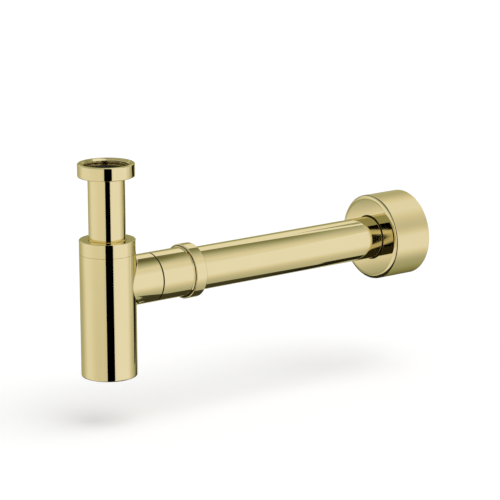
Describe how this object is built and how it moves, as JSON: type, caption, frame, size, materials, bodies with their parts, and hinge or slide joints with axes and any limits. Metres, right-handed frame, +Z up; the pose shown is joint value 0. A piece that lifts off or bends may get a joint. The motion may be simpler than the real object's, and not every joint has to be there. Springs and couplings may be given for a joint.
{
  "type": "bottle trap",
  "caption": "Polished brass bottle trap: union nut and dip tube into a round bottle that holds the water seal, with a side branch, a long straight waste pipe and a deep wall flange.",
  "frame": {"origin": "centre of the sealing face inside the inlet nut, where the basin waste lands on the washer", "axes": "+Z up out of the inlet nut's mouth, +X along the waste pipe to the wall"},
  "size_m": [0.3539, 0.077, 0.1855],
  "materials": {
    "polished_brass": "polished, bright pale gold",
    "black_rubber": "matt",
    "white_plastic": "satin"
  },
  "bodies": {
    "union_nut": {"inlet_nut": "polished_brass"},
    "dip_tube": {"inlet_tube": "polished_brass", "inlet_washer": "black_rubber"},
    "collar_packing": {"collar_seal": "black_rubber"},
    "trap_body": {"bottle": "polished_brass", "outlet_connector": "polished_brass", "connector_o_ring": "black_rubber"},
    "collar_ring": {"collar_slip_ring": "white_plastic"},
    "collar": {"collar_nut": "polished_brass"},
    "outlet_ring": {"outlet_slip_ring": "white_plastic"},
    "outlet_collar": {"outlet_nut": "polished_brass"},
    "pipe_packing": {"outlet_seal": "black_rubber"},
    "waste_pipe": {"outlet_pipe": "polished_brass"},
    "flange_ring": {"flange_grommet": "black_rubber"},
    "flange": {"wall_flange": "polished_brass"}
  },
  "joints": [
    {"name": "nut_swivel", "type": "hinge", "parent": "union_nut", "child": "dip_tube", "pos_m": [0, 0, 0], "axis": [0, 0, 1], "continuous": true},
    {"name": "bottle_height", "type": "slide", "parent": "dip_tube", "child": "collar_packing", "axis": [0, 0, 1], "range_m": [-0.04, 0.006]},
    {"name": "bottle_swivel", "type": "hinge", "parent": "collar_packing", "child": "trap_body", "pos_m": [0, 0, -0.0991], "axis": [0, 0, 1], "continuous": true},
    {"name": "collar_rise", "type": "slide", "parent": "trap_body", "child": "collar_ring", "axis": [0, 0, 1], "range_m": [0, 0.0081]},
    {"name": "collar_turn", "type": "hinge", "parent": "collar_ring", "child": "collar", "pos_m": [0, 0, -0.065], "axis": [0, 0, 1], "range_deg": [0, 1440]},
    {"name": "outlet_nut_travel", "type": "slide", "parent": "trap_body", "child": "outlet_ring", "axis": [1, 0, 0], "range_m": [0, 0.0081]},
    {"name": "outlet_nut_turn", "type": "hinge", "parent": "outlet_ring", "child": "outlet_collar", "pos_m": [0.08, 0, -0.0991], "axis": [1, 0, 0], "range_deg": [0, 1440]},
    {"name": "pipe_turn", "type": "hinge", "parent": "trap_body", "child": "pipe_packing", "pos_m": [0.08, 0, -0.0991], "axis": [1, 0, 0], "continuous": true},
    {"name": "pipe_slide", "type": "slide", "parent": "pipe_packing", "child": "waste_pipe", "axis": [1, 0, 0], "range_m": [-0.002, 0.02]},
    {"name": "flange_slide", "type": "slide", "parent": "waste_pipe", "child": "flange_ring", "axis": [1, 0, 0], "range_m": [-0.185, 0.03]},
    {"name": "flange_turn", "type": "hinge", "parent": "flange_ring", "child": "flange", "pos_m": [0.3, 0, -0.0991], "axis": [1, 0, 0], "continuous": true}
  ],
  "couplings": [
    {"joint": "collar_rise", "follows": "collar_turn", "m_per_rad": 0.00031831},
    {"joint": "outlet_nut_travel", "follows": "outlet_nut_turn", "m_per_rad": 0.00031831}
  ]
}
